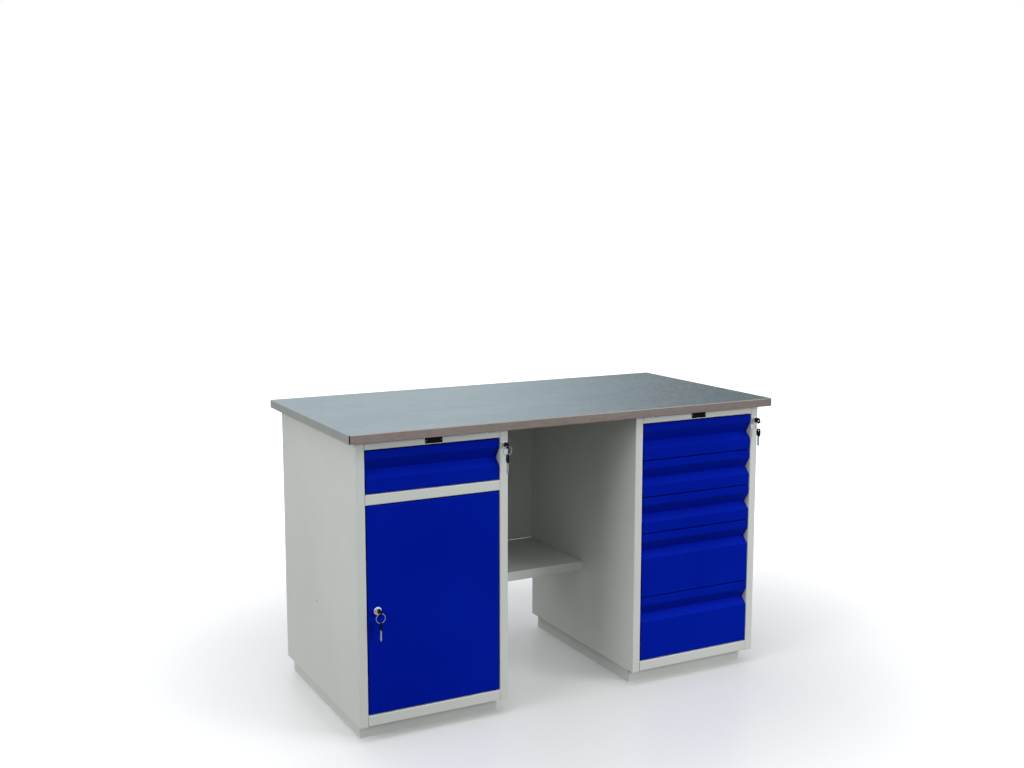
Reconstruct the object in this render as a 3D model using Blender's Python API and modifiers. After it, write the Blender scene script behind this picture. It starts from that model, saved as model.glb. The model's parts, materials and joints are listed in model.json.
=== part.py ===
"""Two-pedestal steel workshop desk, modelled in metres with +Z up.

The origin is on the floor under the middle of the worktop, +X is to the right of a person who
faces the drawers, and the drawers open towards -Y.  Run: blender --background --python part.py

Each pedestal is built in its own frame: x is measured from its middle, y from its front face
towards the back, and z from the floor.
"""

import math

import bmesh
import bpy
from mathutils import Matrix, Vector

# ---------------------------------------------------------------- driving dimensions, metres
DESK_H = 0.870
TOP_W = 1.400
TOP_D = 0.700
TOP_T = 0.025
TOP_SHEET = 0.001  # steel skin folded round the board
TOP_LIP = 0.020  # how far the skin is folded under the board
OVERHANG_SIDE = 0.028
OVERHANG_FRONT = 0.033
OVERHANG_BACK = 0.025

PED_W = 0.457
SHEET = 0.0015  # pedestal sheet
STILE_W = 0.026
JAMB_D = 0.024  # how deep stiles and rails are folded back
TOP_RAIL_H = 0.025
MID_RAIL_H = 0.029
BOTTOM_RAIL_H = 0.031
GROUND_H = 0.048  # floor to underside of the pedestal
PLINTH_INSET_SIDE = 0.015
PLINTH_INSET_FRONT = 0.045
PLINTH_INSET_BACK = 0.015

FRONT_GAP = 0.003  # reveal round every front
FRONT_D = 0.0245  # how deep a drawer front is folded
FRONT_SHEET = 0.0012
LIP_H = 0.023  # flat lip above the finger groove
GROOVE_UPPER_H = 0.032
GROOVE_LOWER_H = 0.021
GROOVE_D = 0.021
SMALL_FRONT_H = 0.110
SMALL_FRONTS = 3
LARGE_FRONTS = 2
LEFT_DRAWER_OPENING = 0.122

BOX_SHEET = 0.0012  # drawer body
BOX_SIDE_GAP = 0.0075  # opening edge to drawer body
BOX_LENGTH = 0.520
BOX_LIFT = 0.010  # underside of the body above the underside of its front
SMALL_BOX_H = 0.084
BOX_HEADROOM = 0.032  # large front height less its body's height
RUNNER_LIFT = 0.028
RUNNER_H = 0.034
RUNNER_L = 0.460
RUNNER_START = 0.045
RUNNER_CLEAR = 0.0005
RAIL_H = 0.042
RAIL_T = 0.006
RAIL_START = 0.040
RAIL_L = 0.520
UPRIGHT_W = 0.022
UPRIGHT_FRONT = 0.070
UPRIGHT_BACK = 0.500

DOOR_D = 0.018
HINGE_IN = 0.010  # pin axis from the door's edge
HINGE_BACK = 0.007  # pin axis behind the door's face
PIN_R = 0.0025
PIN_UP = 0.0065  # pin standing out of the door
PIN_CLEAR = 0.0004

SHELF_TOP = 0.324
SHELF_FLANGE = 0.029
SHELF_SETBACK = 0.298  # pedestal face to knee shelf flange
SHELF_RETURN = 0.015
SHELF_SHEET = 0.0012
BACK_FLANGE = 0.020
CUPBOARD_SHELF_Z = 0.370
CUPBOARD_SHELF_SETBACK = 0.045
CUPBOARD_SHELF_FLANGE = 0.020

LOCK_DROP = 0.021  # drawer lock below the opening's top
DOOR_LOCK_IN = 0.028  # door lock from the door's edge
BEZEL_R = 0.011
BEZEL_T = 0.002
BARREL_R = 0.0082
BARREL_L = 0.025
PLUG_R = 0.006
LOCK_CLEAR = 0.0003
CAM_T = 0.002
CAM_DISC_R = 0.0085
CAM_ARM_W = 0.014
CAM_ARM_REACH = 0.039
PEG_ORBIT = 0.0065
PEG_R = 0.0015
PEG_L = 0.0045
LOCK_BAR_W = 0.012
LOCK_BAR_T = 0.002
LUG_H = 0.006
LUG_CLEAR = 0.0008
LUG_HOLD_OFF = 0.0004  # lug outside the opening's edge, until the lock moves its bar inwards
CATCH_LIFT = 0.070  # underside of a drawer's catch above its body
CATCH_D = 0.006
CATCH_OUT = 0.005

KEY_T = 0.003
KEY_HEAD_L = 0.025
KEY_HEAD_W = 0.018
KEY_HOLE_R = 0.003
KEY_HOLE_IN = 0.006  # hole centre from the head's end
KEY_BLADE_L = 0.030
KEY_BLADE_W = 0.0075
KEY_STAND_OFF = 0.003  # head clear of the lock's face
RING_R = 0.0132
RING_WIRE_R = 0.0009

MESH_GAP = 0.0003  # left between pieces that touch
ROUND_STEPS = 24

# ---------------------------------------------------------------- worked-out sizes
FRONT_Y = -TOP_D / 2 + OVERHANG_FRONT
PED_D = TOP_D - OVERHANG_FRONT - OVERHANG_BACK
PED_X = TOP_W / 2 - OVERHANG_SIDE - PED_W / 2
PED_HALF = PED_W / 2
OPEN_HALF = PED_HALF - STILE_W
KNEE_HALF = PED_X - PED_HALF
BODY_TOP = DESK_H - TOP_T - MESH_GAP
OPEN_TOP = DESK_H - TOP_T - TOP_RAIL_H
OPEN_BOTTOM = GROUND_H + BOTTOM_RAIL_H
LEFT_DRAWER_BOTTOM = OPEN_TOP - LEFT_DRAWER_OPENING
DOOR_TOP = LEFT_DRAWER_BOTTOM - MID_RAIL_H
BOX_HALF = OPEN_HALF - BOX_SIDE_GAP
BOX_FRONT = FRONT_D + MESH_GAP
LOCK_X = PED_HALF - STILE_W / 2
CAM_Y = BARREL_L + MESH_GAP
LOCK_BAR_Y = CAM_Y + CAM_T + 2 * MESH_GAP
KEY_HOLE_OUT = KEY_STAND_OFF + KEY_HEAD_L - KEY_HOLE_IN
RING_SAG = KEY_HOLE_R - RING_WIRE_R - MESH_GAP


# ---------------------------------------------------------------- scene helpers
def clear_scene():
    """Empties the file of its objects and of the collections that held them."""
    for obj in list(bpy.data.objects):
        bpy.data.objects.remove(obj, do_unlink=True)
    for group in list(bpy.data.collections):
        bpy.data.collections.remove(group)


def new_collection(name):
    group = bpy.data.collections.new(name)
    bpy.context.scene.collection.children.link(group)
    return group


clear_scene()
DESK = new_collection("workshop_desk")
CUTTERS = new_collection("cutters")
CUTTERS.hide_render = True

FINISHES = {
    "grey_paint": ((0.42, 0.44, 0.42), 0.45, 0.0),
    "blue_paint": ((0.003, 0.012, 0.27), 0.40, 0.0),
    "galvanised": ((0.36, 0.37, 0.39), 0.38, 1.0),
    "board": ((0.45, 0.32, 0.18), 0.80, 0.0),
    "zinc": ((0.62, 0.63, 0.64), 0.35, 1.0),
    "lock_chrome": ((0.72, 0.72, 0.73), 0.15, 1.0),
    "key_steel": ((0.60, 0.60, 0.58), 0.28, 1.0),
    "black_plastic": ((0.010, 0.010, 0.011), 0.40, 0.0),
}


def finish(node, name):
    """A material of the node's own, in one of the desk's finishes."""
    colour, roughness, metallic = FINISHES[name]
    mat = bpy.data.materials.new(f"{node}_{name}")
    mat.use_nodes = True
    shader = mat.node_tree.nodes["Principled BSDF"]
    shader.inputs["Base Color"].default_value = (*colour, 1.0)
    shader.inputs["Roughness"].default_value = roughness
    shader.inputs["Metallic"].default_value = metallic
    return mat


def anchor(name, parent=None, at=(0, 0, 0)):
    """An empty that pieces hang from: a pedestal's frame or a joint's axis."""
    obj = bpy.data.objects.new(name, None)
    obj.location = at
    obj.parent = parent
    obj.empty_display_size = 0.03
    DESK.objects.link(obj)
    return obj


def place(name, mesh, look, parent=None, at=(0, 0, 0), turn=None, helper=False):
    """Links a mesh or curve as an object; helper pieces only cut or join another piece."""
    obj = bpy.data.objects.new(name, mesh)
    obj.location = at
    obj.parent = parent
    if turn is not None:
        obj.rotation_euler = turn
    if helper:
        obj.hide_render = True
        obj.display_type = "WIRE"
        CUTTERS.objects.link(obj)
    else:
        if not mesh.materials:
            mesh.materials.append(finish(name, look))
        DESK.objects.link(obj)
    return obj


def mesh_from(name, bm):
    mesh = bpy.data.meshes.new(name)
    bmesh.ops.recalc_face_normals(bm, faces=bm.faces)
    bm.to_mesh(mesh)
    bm.free()
    return mesh


def box(name, low, high, look=None, parent=None, helper=False):
    """A block between two corners, with its origin at its middle."""
    low, high = Vector(low), Vector(high)
    bm = bmesh.new()
    bmesh.ops.create_cube(bm, size=1.0)
    bmesh.ops.scale(bm, vec=high - low, verts=bm.verts)
    return place(name, mesh_from(name, bm), look, parent, (low + high) / 2, helper=helper)


def cylinder(name, radius, low, high, axis="Z", parent=None, steps=ROUND_STEPS):
    """A helper rod from low to high along one axis, given by the middle of each end."""
    low, high = Vector(low), Vector(high)
    bm = bmesh.new()
    depth = (high - low).length
    bmesh.ops.create_cone(
        bm, cap_ends=True, segments=steps, radius1=radius, radius2=radius, depth=depth
    )
    turn = {"Z": (0, 0, 0), "Y": (math.pi / 2, 0, 0)}[axis]
    return place(name, mesh_from(name, bm), None, parent, (low + high) / 2, turn, helper=True)


def combine(obj, other, operation):
    """Cuts the helper out of the piece, or joins it on."""
    step = obj.modifiers.new(other.name, "BOOLEAN")
    step.operation = operation
    step.solver = "EXACT"
    step.object = other


def thicken(obj, thickness):
    """Gives an open surface its wall, behind the face that shows."""
    wall = obj.modifiers.new("wall", "SOLIDIFY")
    wall.thickness = thickness
    wall.offset = -1.0
    wall.use_even_offset = True


def bent_sheet(name, profile, span, thickness, look, parent, upright=False, closed=False):
    """A folded sheet: its outer face follows the profile, with the metal to the left of travel.

    An upright profile is in x and y and is swept up z over the span; any other is in y and z
    and is swept along x.
    """
    bm = bmesh.new()
    rows = []
    for end in span:
        points = [(a, b, end) if upright else (end, a, b) for a, b in profile]
        rows.append([bm.verts.new(point) for point in points])
    count = len(profile)
    for i in range(count if closed else count - 1):
        j = (i + 1) % count
        bm.faces.new((rows[0][i], rows[0][j], rows[1][j], rows[1][i]))
    mesh = bpy.data.meshes.new(name)
    bm.to_mesh(mesh)
    bm.free()
    obj = place(name, mesh, look, parent)
    thicken(obj, thickness)
    return obj


def open_box(name, low, high, missing, thickness, look, parent):
    """A sheet box with one face left off; missing is that face's outward direction."""
    low, high = Vector(low), Vector(high)
    bm = bmesh.new()
    bmesh.ops.create_cube(bm, size=1.0)
    bmesh.ops.scale(bm, vec=high - low, verts=bm.verts)
    bm.normal_update()
    gone = [face for face in bm.faces if face.normal.dot(Vector(missing)) > 0.9]
    bmesh.ops.delete(bm, geom=gone, context="FACES")
    mesh = bpy.data.meshes.new(name)
    bm.to_mesh(mesh)
    bm.free()
    obj = place(name, mesh, look, parent, (low + high) / 2)
    thicken(obj, thickness)
    return obj


def turned(name, profile, look, parent, at, helper=False):
    """A closed (radius, outward height) profile turned about the lock's axis, along y."""
    bm = bmesh.new()
    verts = [bm.verts.new((radius, 0, height)) for radius, height in profile]
    for a, b in zip(verts, verts[1:] + verts[:1]):
        bm.edges.new((a, b))
    mesh = bpy.data.meshes.new(name)
    bm.to_mesh(mesh)
    bm.free()
    obj = place(name, mesh, look, parent, at, (math.pi / 2, 0, 0), helper)
    screw = obj.modifiers.new("turn", "SCREW")
    screw.axis = "Z"
    screw.angle = math.tau
    screw.steps = ROUND_STEPS
    screw.render_steps = ROUND_STEPS
    screw.use_merge_vertices = True
    screw.merge_threshold = 0.00001
    return obj


# ---------------------------------------------------------------- worktop and kneehole
def worktop():
    """A board inside a steel skin whose edges are folded down and under."""
    z0 = DESK_H - TOP_T
    inset = TOP_SHEET + MESH_GAP
    box(
        "worktop_board",
        (-TOP_W / 2 + inset, -TOP_D / 2 + inset, z0 + inset),
        (TOP_W / 2 - inset, TOP_D / 2 - inset, DESK_H - inset),
        "board",
    )
    bm = bmesh.new()
    bmesh.ops.create_cube(bm, size=1.0)
    bmesh.ops.scale(bm, vec=(TOP_W, TOP_D, TOP_T), verts=bm.verts)
    bm.normal_update()
    under = [face for face in bm.faces if face.normal.z < -0.9]
    bmesh.ops.inset_region(bm, faces=under, thickness=TOP_LIP, use_even_offset=True)
    bmesh.ops.delete(bm, geom=under, context="FACES")
    mesh = bpy.data.meshes.new("worktop_sheet")
    bm.to_mesh(mesh)
    bm.free()
    skin = place("worktop_sheet", mesh, "galvanised", None, (0, 0, DESK_H - TOP_T / 2))
    thicken(skin, TOP_SHEET)


def kneehole():
    """The half-deep shelf and the panel that closes the kneehole's back above it."""
    half = KNEE_HALF - MESH_GAP
    back = FRONT_Y + PED_D
    shelf_front = FRONT_Y + SHELF_SETBACK
    shelf_back = back - SHELF_SHEET - MESH_GAP
    low = SHELF_TOP - SHELF_FLANGE
    bent_sheet(
        "knee_shelf",
        [
            (shelf_back, SHELF_TOP),
            (shelf_front, SHELF_TOP),
            (shelf_front, low),
            (shelf_front + SHELF_RETURN, low),
        ],
        (-half, half),
        SHELF_SHEET,
        "grey_paint",
        None,
    )
    bent_sheet(
        "knee_back_panel",
        [
            (half, back - BACK_FLANGE),
            (half, back),
            (-half, back),
            (-half, back - BACK_FLANGE),
        ],
        (SHELF_TOP + MESH_GAP, BODY_TOP),
        SHELF_SHEET,
        "grey_paint",
        None,
        upright=True,
    )


# ---------------------------------------------------------------- pedestal casing
def shell(side, frame):
    """Sides, back and stiles in one folded sheet, with the stiles folded back as jambs."""
    profile = [
        (OPEN_HALF, JAMB_D),
        (OPEN_HALF, 0),
        (PED_HALF, 0),
        (PED_HALF, PED_D),
        (-PED_HALF, PED_D),
        (-PED_HALF, 0),
        (-OPEN_HALF, 0),
        (-OPEN_HALF, JAMB_D),
    ]
    casing = bent_sheet(
        f"{side}_shell", profile, (GROUND_H, BODY_TOP), SHEET, "grey_paint", frame, upright=True
    )
    hole = cylinder(
        f"{side}_lock_hole",
        BARREL_R + LOCK_CLEAR,
        (LOCK_X, -SHEET, OPEN_TOP - LOCK_DROP),
        (LOCK_X, 3 * SHEET, OPEN_TOP - LOCK_DROP),
        "Y",
        frame,
    )
    combine(casing, hole, "DIFFERENCE")


def pan(name, top, bottom, frame):
    """A panel with a rail folded down at its front, notched round the stiles."""
    profile = [
        (PED_D - SHEET - MESH_GAP, top),
        (0, top),
        (0, bottom),
        (JAMB_D, bottom),
    ]
    half = PED_HALF - SHEET - MESH_GAP
    piece = bent_sheet(name, profile, (-half, half), SHEET, "grey_paint", frame)
    for sign in (-1, 1):
        edges = sorted((sign * (OPEN_HALF - MESH_GAP), sign * PED_W))
        notch = box(
            f"{name}_notch_{'left' if sign < 0 else 'right'}",
            (edges[0], -JAMB_D, bottom - TOP_T),
            (edges[1], JAMB_D + MESH_GAP, top + TOP_T),
            parent=frame,
            helper=True,
        )
        combine(piece, notch, "DIFFERENCE")
    return piece


def plinth(side, frame):
    half = PED_HALF - PLINTH_INSET_SIDE
    front, back = PLINTH_INSET_FRONT, PED_D - PLINTH_INSET_BACK
    outline = [(-half, front), (half, front), (half, back), (-half, back)]
    height = OPEN_BOTTOM - SHEET - MESH_GAP
    bent_sheet(
        f"{side}_plinth", outline, (0, height), SHEET, "grey_paint", frame, upright=True, closed=True
    )


def pin_holes(piece, frame, z, tag):
    """A hole through the sheet at height z for the door's pin."""
    x = OPEN_HALF - FRONT_GAP - HINGE_IN
    hole = cylinder(
        f"pin_hole_{tag}",
        PIN_R + PIN_CLEAR,
        (x, HINGE_BACK, z - 4 * SHEET),
        (x, HINGE_BACK, z + 4 * SHEET),
        "Z",
        frame,
        steps=16,
    )
    combine(piece, hole, "DIFFERENCE")


def casing(side, frame):
    shell(side, frame)
    pan(f"{side}_top_pan", BODY_TOP, OPEN_TOP, frame)
    floor = pan(f"{side}_floor_pan", OPEN_BOTTOM, GROUND_H, frame)
    plinth(side, frame)
    return floor


# ---------------------------------------------------------------- drawers and runners
def drawer_front(name, height, parent):
    """A folded front: top lip, V-shaped finger groove, flat panel, with the folds closed below."""
    groove_top = height - LIP_H
    groove_deep = groove_top - GROOVE_UPPER_H
    groove_end = groove_deep - GROOVE_LOWER_H
    profile = [
        (FRONT_D, height),
        (0, height),
        (0, groove_top),
        (GROOVE_D, groove_deep),
        (0, groove_end),
        (0, 0),
        (FRONT_D, 0),
    ]
    half = OPEN_HALF - FRONT_GAP
    bent_sheet(name, profile, (-half, half), FRONT_SHEET, "blue_paint", parent)


def drawer_body(name, box_h, parent):
    """The open-topped body, with the catch that the locking bar holds on its right side."""
    body = open_box(
        name,
        (-BOX_HALF, BOX_FRONT, BOX_LIFT),
        (BOX_HALF, BOX_FRONT + BOX_LENGTH, BOX_LIFT + box_h),
        (0, 0, 1),
        BOX_SHEET,
        "grey_paint",
        parent,
    )
    catch_y = LOCK_BAR_Y + LOCK_BAR_T + LUG_CLEAR
    catch_z = BOX_LIFT + CATCH_LIFT
    catch = box(
        f"{name}_catch",
        (BOX_HALF - BOX_SHEET / 2, catch_y, catch_z),
        (BOX_HALF + CATCH_OUT, catch_y + CATCH_D, catch_z + LUG_H),
        parent=parent,
        helper=True,
    )
    combine(body, catch, "UNION")


def runner_members(name, parent):
    """The two members that travel with the drawer, one on each side of its body."""
    low = BOX_LIFT + RUNNER_LIFT
    inner = BOX_HALF + MESH_GAP
    outer = OPEN_HALF - RUNNER_CLEAR
    for sign, hand in ((-1, "left"), (1, "right")):
        edges = sorted((sign * inner, sign * outer))
        box(
            f"{name}_runner_{hand}",
            (edges[0], RUNNER_START, low),
            (edges[1], RUNNER_START + RUNNER_L, low + RUNNER_H),
            "zinc",
            parent,
        )


def drawer(name, bottom, front_h, box_h, frame):
    slide = anchor(f"{name}_slide", frame, (0, 0, bottom))
    drawer_front(f"{name}_front", front_h, slide)
    drawer_body(f"{name}_body", box_h, slide)
    runner_members(name, slide)


def runner_rack(name, bottoms, top, hand, frame):
    """The fixed runner members of one side, on a front and a back upright, in one piece."""
    sign = -1 if hand == "left" else 1
    inner = OPEN_HALF + MESH_GAP
    outer = PED_HALF - SHEET - MESH_GAP
    ledge = inner + RAIL_T
    post_low = bottoms[0] + BOX_LIFT
    posts = []
    for start in (UPRIGHT_FRONT, UPRIGHT_BACK):
        edges = sorted((sign * (ledge - RAIL_T / 2), sign * outer))
        posts.append(((edges[0], start, post_low), (edges[1], start + UPRIGHT_W, top)))
    rack = box(name, *posts[0], "zinc", frame)
    combine(rack, box(f"{name}_back_post", *posts[1], parent=frame, helper=True), "UNION")
    for number, bottom in enumerate(bottoms):
        middle = bottom + BOX_LIFT + RUNNER_LIFT + RUNNER_H / 2
        edges = sorted((sign * inner, sign * ledge))
        rail = box(
            f"{name}_rail_{number}",
            (edges[0], RAIL_START, middle - RAIL_H / 2),
            (edges[1], RAIL_START + RAIL_L, middle + RAIL_H / 2),
            parent=frame,
            helper=True,
        )
        combine(rack, rail, "UNION")


# ---------------------------------------------------------------- locks and keys
def lock_bar(name, bottoms, frame):
    """The strip that the lock moves sideways, with a lug that goes in front of each catch."""
    y0, y1 = LOCK_BAR_Y, LOCK_BAR_Y + LOCK_BAR_T
    lock_z = OPEN_TOP - LOCK_DROP
    lugs = [bottom + BOX_LIFT + CATCH_LIFT for bottom in bottoms]
    half = LOCK_BAR_W / 2
    slack = PEG_ORBIT / 10
    lead = 0.211 * PEG_ORBIT  # most that the peg, on its circle, is ahead of the evenly moved bar
    slot_top = PEG_ORBIT + PEG_R + slack
    slide = anchor(f"{name}_slide", frame, (LOCK_X, y0, lock_z))
    bar = box(
        name,
        (-half, 0, lugs[0] - LUG_H - lock_z),
        (half, y1 - y0, slot_top + 2 * PEG_R),
        "zinc",
        slide,
    )
    for number, low in enumerate(lugs):
        lug = box(
            f"{name}_lug_{number}",
            (OPEN_HALF + LUG_HOLD_OFF - LOCK_X, 0, low - lock_z),
            (0, y1 - y0, low + LUG_H - lock_z),
            parent=slide,
            helper=True,
        )
        combine(bar, lug, "UNION")
    slot = box(
        f"{name}_slot",
        (-PEG_R - lead - slack, -y0, -PEG_R - slack),
        (PEG_R + slack, y0, slot_top),
        parent=slide,
        helper=True,
    )
    combine(bar, slot, "DIFFERENCE")


def barrel(name, parent, at):
    """The lock's fixed body with its round face plate, bored for the plug."""
    bore = PLUG_R + LOCK_CLEAR
    profile = [
        (bore, BEZEL_T),
        (BEZEL_R - BEZEL_T / 2, BEZEL_T),
        (BEZEL_R, BEZEL_T / 2),
        (BEZEL_R, MESH_GAP),
        (BARREL_R, MESH_GAP),
        (BARREL_R, -BARREL_L),
        (bore, -BARREL_L),
    ]
    turned(f"{name}_barrel", profile, "lock_chrome", parent, at)


def plug(name, parent, arm_reach):
    """The turning plug with its keyway, and the cam on its inner end."""
    deep = CAM_Y + CAM_T
    profile = [(0, BEZEL_T), (PLUG_R, BEZEL_T), (PLUG_R, -CAM_Y)]
    if not arm_reach:
        profile += [(CAM_DISC_R, -CAM_Y), (CAM_DISC_R, -deep)]
    else:
        profile += [(PLUG_R, -deep)]
    profile += [(0, -deep)]
    piece = turned(f"{name}_plug", profile, "lock_chrome", parent, (0, 0, 0))
    wide = KEY_T / 2 + LOCK_CLEAR
    tall = KEY_BLADE_W / 2 + LOCK_CLEAR
    keyway = box(
        f"{name}_keyway",
        (-wide, -2 * BEZEL_T, -tall),
        (wide, KEY_BLADE_L - KEY_STAND_OFF, tall),
        parent=parent,
        helper=True,
    )
    if arm_reach:
        half = CAM_ARM_W / 2
        arm = box(
            f"{name}_arm", (-half, CAM_Y, -arm_reach), (half, deep, half), parent=parent, helper=True
        )
        combine(piece, arm, "UNION")
    else:
        peg = cylinder(
            f"{name}_peg",
            PEG_R,
            (0, deep - CAM_T / 2, PEG_ORBIT),
            (0, deep + PEG_L, PEG_ORBIT),
            "Y",
            parent,
            steps=12,
        )
        combine(piece, peg, "UNION")
    combine(piece, keyway, "DIFFERENCE")


def arc(centre, radius, start, stop, steps):
    """Points on a circle's arc, angles in degrees."""
    turn = [math.radians(start + (stop - start) * i / steps) for i in range(steps + 1)]
    return [(centre[0] + radius * math.cos(a), centre[1] + radius * math.sin(a)) for a in turn]


def key_shape():
    """A flat key in x and y, its hole at the origin and its blade towards -x."""
    half, blade = KEY_HEAD_W / 2, KEY_BLADE_W / 2
    outer = KEY_HOLE_IN
    neck = KEY_HOLE_IN - KEY_HEAD_L
    tip = neck - KEY_BLADE_L
    round_r = KEY_HEAD_W / 3
    points = arc((outer - round_r, half - round_r), round_r, 0, 90, 4)
    points += arc((neck + round_r, half - round_r), round_r, 90, 180, 4)
    points += [(neck, blade), (tip + blade, blade), (tip, 0), (tip + blade, -blade), (neck, -blade)]
    points += arc((neck + round_r, round_r - half), round_r, 180, 270, 4)
    points += arc((outer - round_r, round_r - half), round_r, 270, 360, 4)
    curve = bpy.data.curves.new("key_shape", "CURVE")
    curve.dimensions = "2D"
    curve.fill_mode = "BOTH"
    curve.extrude = KEY_T / 2
    hole = arc((0, 0), KEY_HOLE_R, 0, 360, 12)[:-1]
    for outline in (points, hole):
        spline = curve.splines.new("POLY")
        spline.points.add(len(outline) - 1)
        for point, (x, y) in zip(spline.points, outline):
            point.co = (x, y, 0, 1)
        spline.use_cyclic_u = True
    return curve


def key_turn(head_to):
    """The rotation that lays a key in the y-z plane with its head towards head_to."""
    along = Vector(head_to)
    across = Vector((0, 0, 1)) if abs(along.y) > 0.5 else Vector((0, 1, 0))
    axes = Matrix((along, across, along.cross(across))).transposed()
    return axes.to_euler()


def key_set(name, lock):
    """The key in its lock, and the spare that hangs from it on a wire ring."""
    shape = key_shape()
    shape.materials.append(finish(f"{name}_key", "black_plastic"))
    place(f"{name}_key", shape, None, lock, (0, -KEY_HOLE_OUT, 0), key_turn((0, -1, 0)))
    swing = anchor(f"{name}_ring_swing", lock, (0, -KEY_HOLE_OUT, -RING_SAG))
    bpy.ops.mesh.primitive_torus_add(
        major_radius=RING_R, minor_radius=RING_WIRE_R, major_segments=28, minor_segments=8
    )
    made = bpy.context.active_object
    ring_mesh = made.data
    bpy.data.objects.remove(made, do_unlink=True)
    ring_mesh.shade_smooth()
    place(f"{name}_ring", ring_mesh, "key_steel", swing, (0, 0, -RING_R), (math.pi / 2, 0, 0))
    hang = anchor(f"{name}_spare_swing", swing, (0, 0, -2 * RING_R))
    place(f"{name}_spare_key", shape, None, hang, (0, 0, -RING_SAG), key_turn((0, 0, 1)))


def lock_set(name, parent, at, arm_reach=0.0):
    barrel(name, parent, at)
    turn = anchor(f"{name}_turn", parent, at)
    plug(name, turn, arm_reach)
    key_set(name, turn)


# ---------------------------------------------------------------- door
def door(frame):
    """The cupboard door: a folded pan with a pivot pin standing out of its top and bottom."""
    low = OPEN_BOTTOM + FRONT_GAP
    high = DOOR_TOP - FRONT_GAP
    edge = OPEN_HALF - FRONT_GAP
    axis_x = edge - HINGE_IN
    hinge = anchor("door_hinge", frame, (axis_x, HINGE_BACK, low))
    left, right = -edge - axis_x, edge - axis_x
    height = high - low
    panel = open_box(
        "door_panel",
        (left, -HINGE_BACK, 0),
        (right, DOOR_D - HINGE_BACK, height),
        (0, 1, 0),
        FRONT_SHEET,
        "blue_paint",
        hinge,
    )
    sunk = 2 * FRONT_SHEET
    pins = (("top", height - sunk, height + PIN_UP), ("bottom", -PIN_UP, sunk))
    for tag, start, stop in pins:
        pin = cylinder(f"door_pin_{tag}", PIN_R, (0, 0, start), (0, 0, stop), "Z", hinge, steps=16)
        combine(panel, pin, "UNION")
    lock_x = left + DOOR_LOCK_IN
    lock_z = height / 2
    hole = cylinder(
        "door_lock_hole",
        BARREL_R + LOCK_CLEAR,
        (lock_x, -2 * HINGE_BACK, lock_z),
        (lock_x, 0, lock_z),
        "Y",
        hinge,
    )
    combine(panel, hole, "DIFFERENCE")
    lock_set("door_lock", hinge, (lock_x, -HINGE_BACK, lock_z), CAM_ARM_REACH)


# ---------------------------------------------------------------- pedestals
def left_pedestal():
    """One drawer over a cupboard with a shelf."""
    frame = anchor("left_pedestal", None, (-PED_X, FRONT_Y, 0))
    floor = casing("left", frame)
    pin_holes(floor, frame, OPEN_BOTTOM, "bottom")
    rail = bent_sheet(
        "left_mid_rail",
        [
            (JAMB_D, LEFT_DRAWER_BOTTOM),
            (0, LEFT_DRAWER_BOTTOM),
            (0, DOOR_TOP),
            (JAMB_D, DOOR_TOP),
        ],
        (-OPEN_HALF + MESH_GAP, OPEN_HALF - MESH_GAP),
        SHEET,
        "grey_paint",
        frame,
    )
    pin_holes(rail, frame, DOOR_TOP, "top")
    inside = PED_HALF - SHEET - MESH_GAP
    bent_sheet(
        "cupboard_shelf",
        [
            (PED_D - SHEET - MESH_GAP, CUPBOARD_SHELF_Z),
            (CUPBOARD_SHELF_SETBACK, CUPBOARD_SHELF_Z),
            (CUPBOARD_SHELF_SETBACK, CUPBOARD_SHELF_Z - CUPBOARD_SHELF_FLANGE),
            (CUPBOARD_SHELF_SETBACK + SHELF_RETURN, CUPBOARD_SHELF_Z - CUPBOARD_SHELF_FLANGE),
        ],
        (-inside, inside),
        SHELF_SHEET,
        "grey_paint",
        frame,
    )
    bottom = LEFT_DRAWER_BOTTOM + FRONT_GAP
    front_h = LEFT_DRAWER_OPENING - 2 * FRONT_GAP
    drawer("left_drawer", bottom, front_h, SMALL_BOX_H, frame)
    for hand in ("left", "right"):
        runner_rack(f"left_rack_{hand}", [bottom], bottom + SMALL_BOX_H, hand, frame)
    lock_bar("left_lock_bar", [bottom], frame)
    lock_set("left_lock", frame, (LOCK_X, 0, OPEN_TOP - LOCK_DROP))
    door(frame)


def right_pedestal():
    """Three shallow drawers over two deep ones."""
    frame = anchor("right_pedestal", None, (PED_X, FRONT_Y, 0))
    casing("right", frame)
    count = SMALL_FRONTS + LARGE_FRONTS
    room = OPEN_TOP - OPEN_BOTTOM - (count + 1) * FRONT_GAP
    large_h = (room - SMALL_FRONTS * SMALL_FRONT_H) / LARGE_FRONTS
    heights = [SMALL_FRONT_H] * SMALL_FRONTS + [large_h] * LARGE_FRONTS
    top = OPEN_TOP
    bottoms = []
    for number, front_h in enumerate(heights, start=1):
        top -= FRONT_GAP + front_h
        box_h = SMALL_BOX_H if front_h == SMALL_FRONT_H else front_h - BOX_HEADROOM
        drawer(f"right_drawer_{number}", top, front_h, box_h, frame)
        bottoms.insert(0, top)
    for hand in ("left", "right"):
        rack_top = bottoms[-1] + SMALL_BOX_H
        runner_rack(f"right_rack_{hand}", bottoms, rack_top, hand, frame)
    lock_bar("right_lock_bar", bottoms, frame)
    lock_set("right_lock", frame, (LOCK_X, 0, OPEN_TOP - LOCK_DROP))


worktop()
kneehole()
left_pedestal()
right_pedestal()
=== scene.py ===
# %% [markdown]
# # A two-pedestal steel workshop desk
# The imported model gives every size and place. This file dresses it: each sheet-metal piece is
# worked out again with real bends, each lock and key gets its small parts, and every surface
# gets a finish. A folded sheet is the main idea, because a desk like this is cut, punched and
# folded from flat steel, then powder coated.

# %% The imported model
import json
import math

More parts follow.
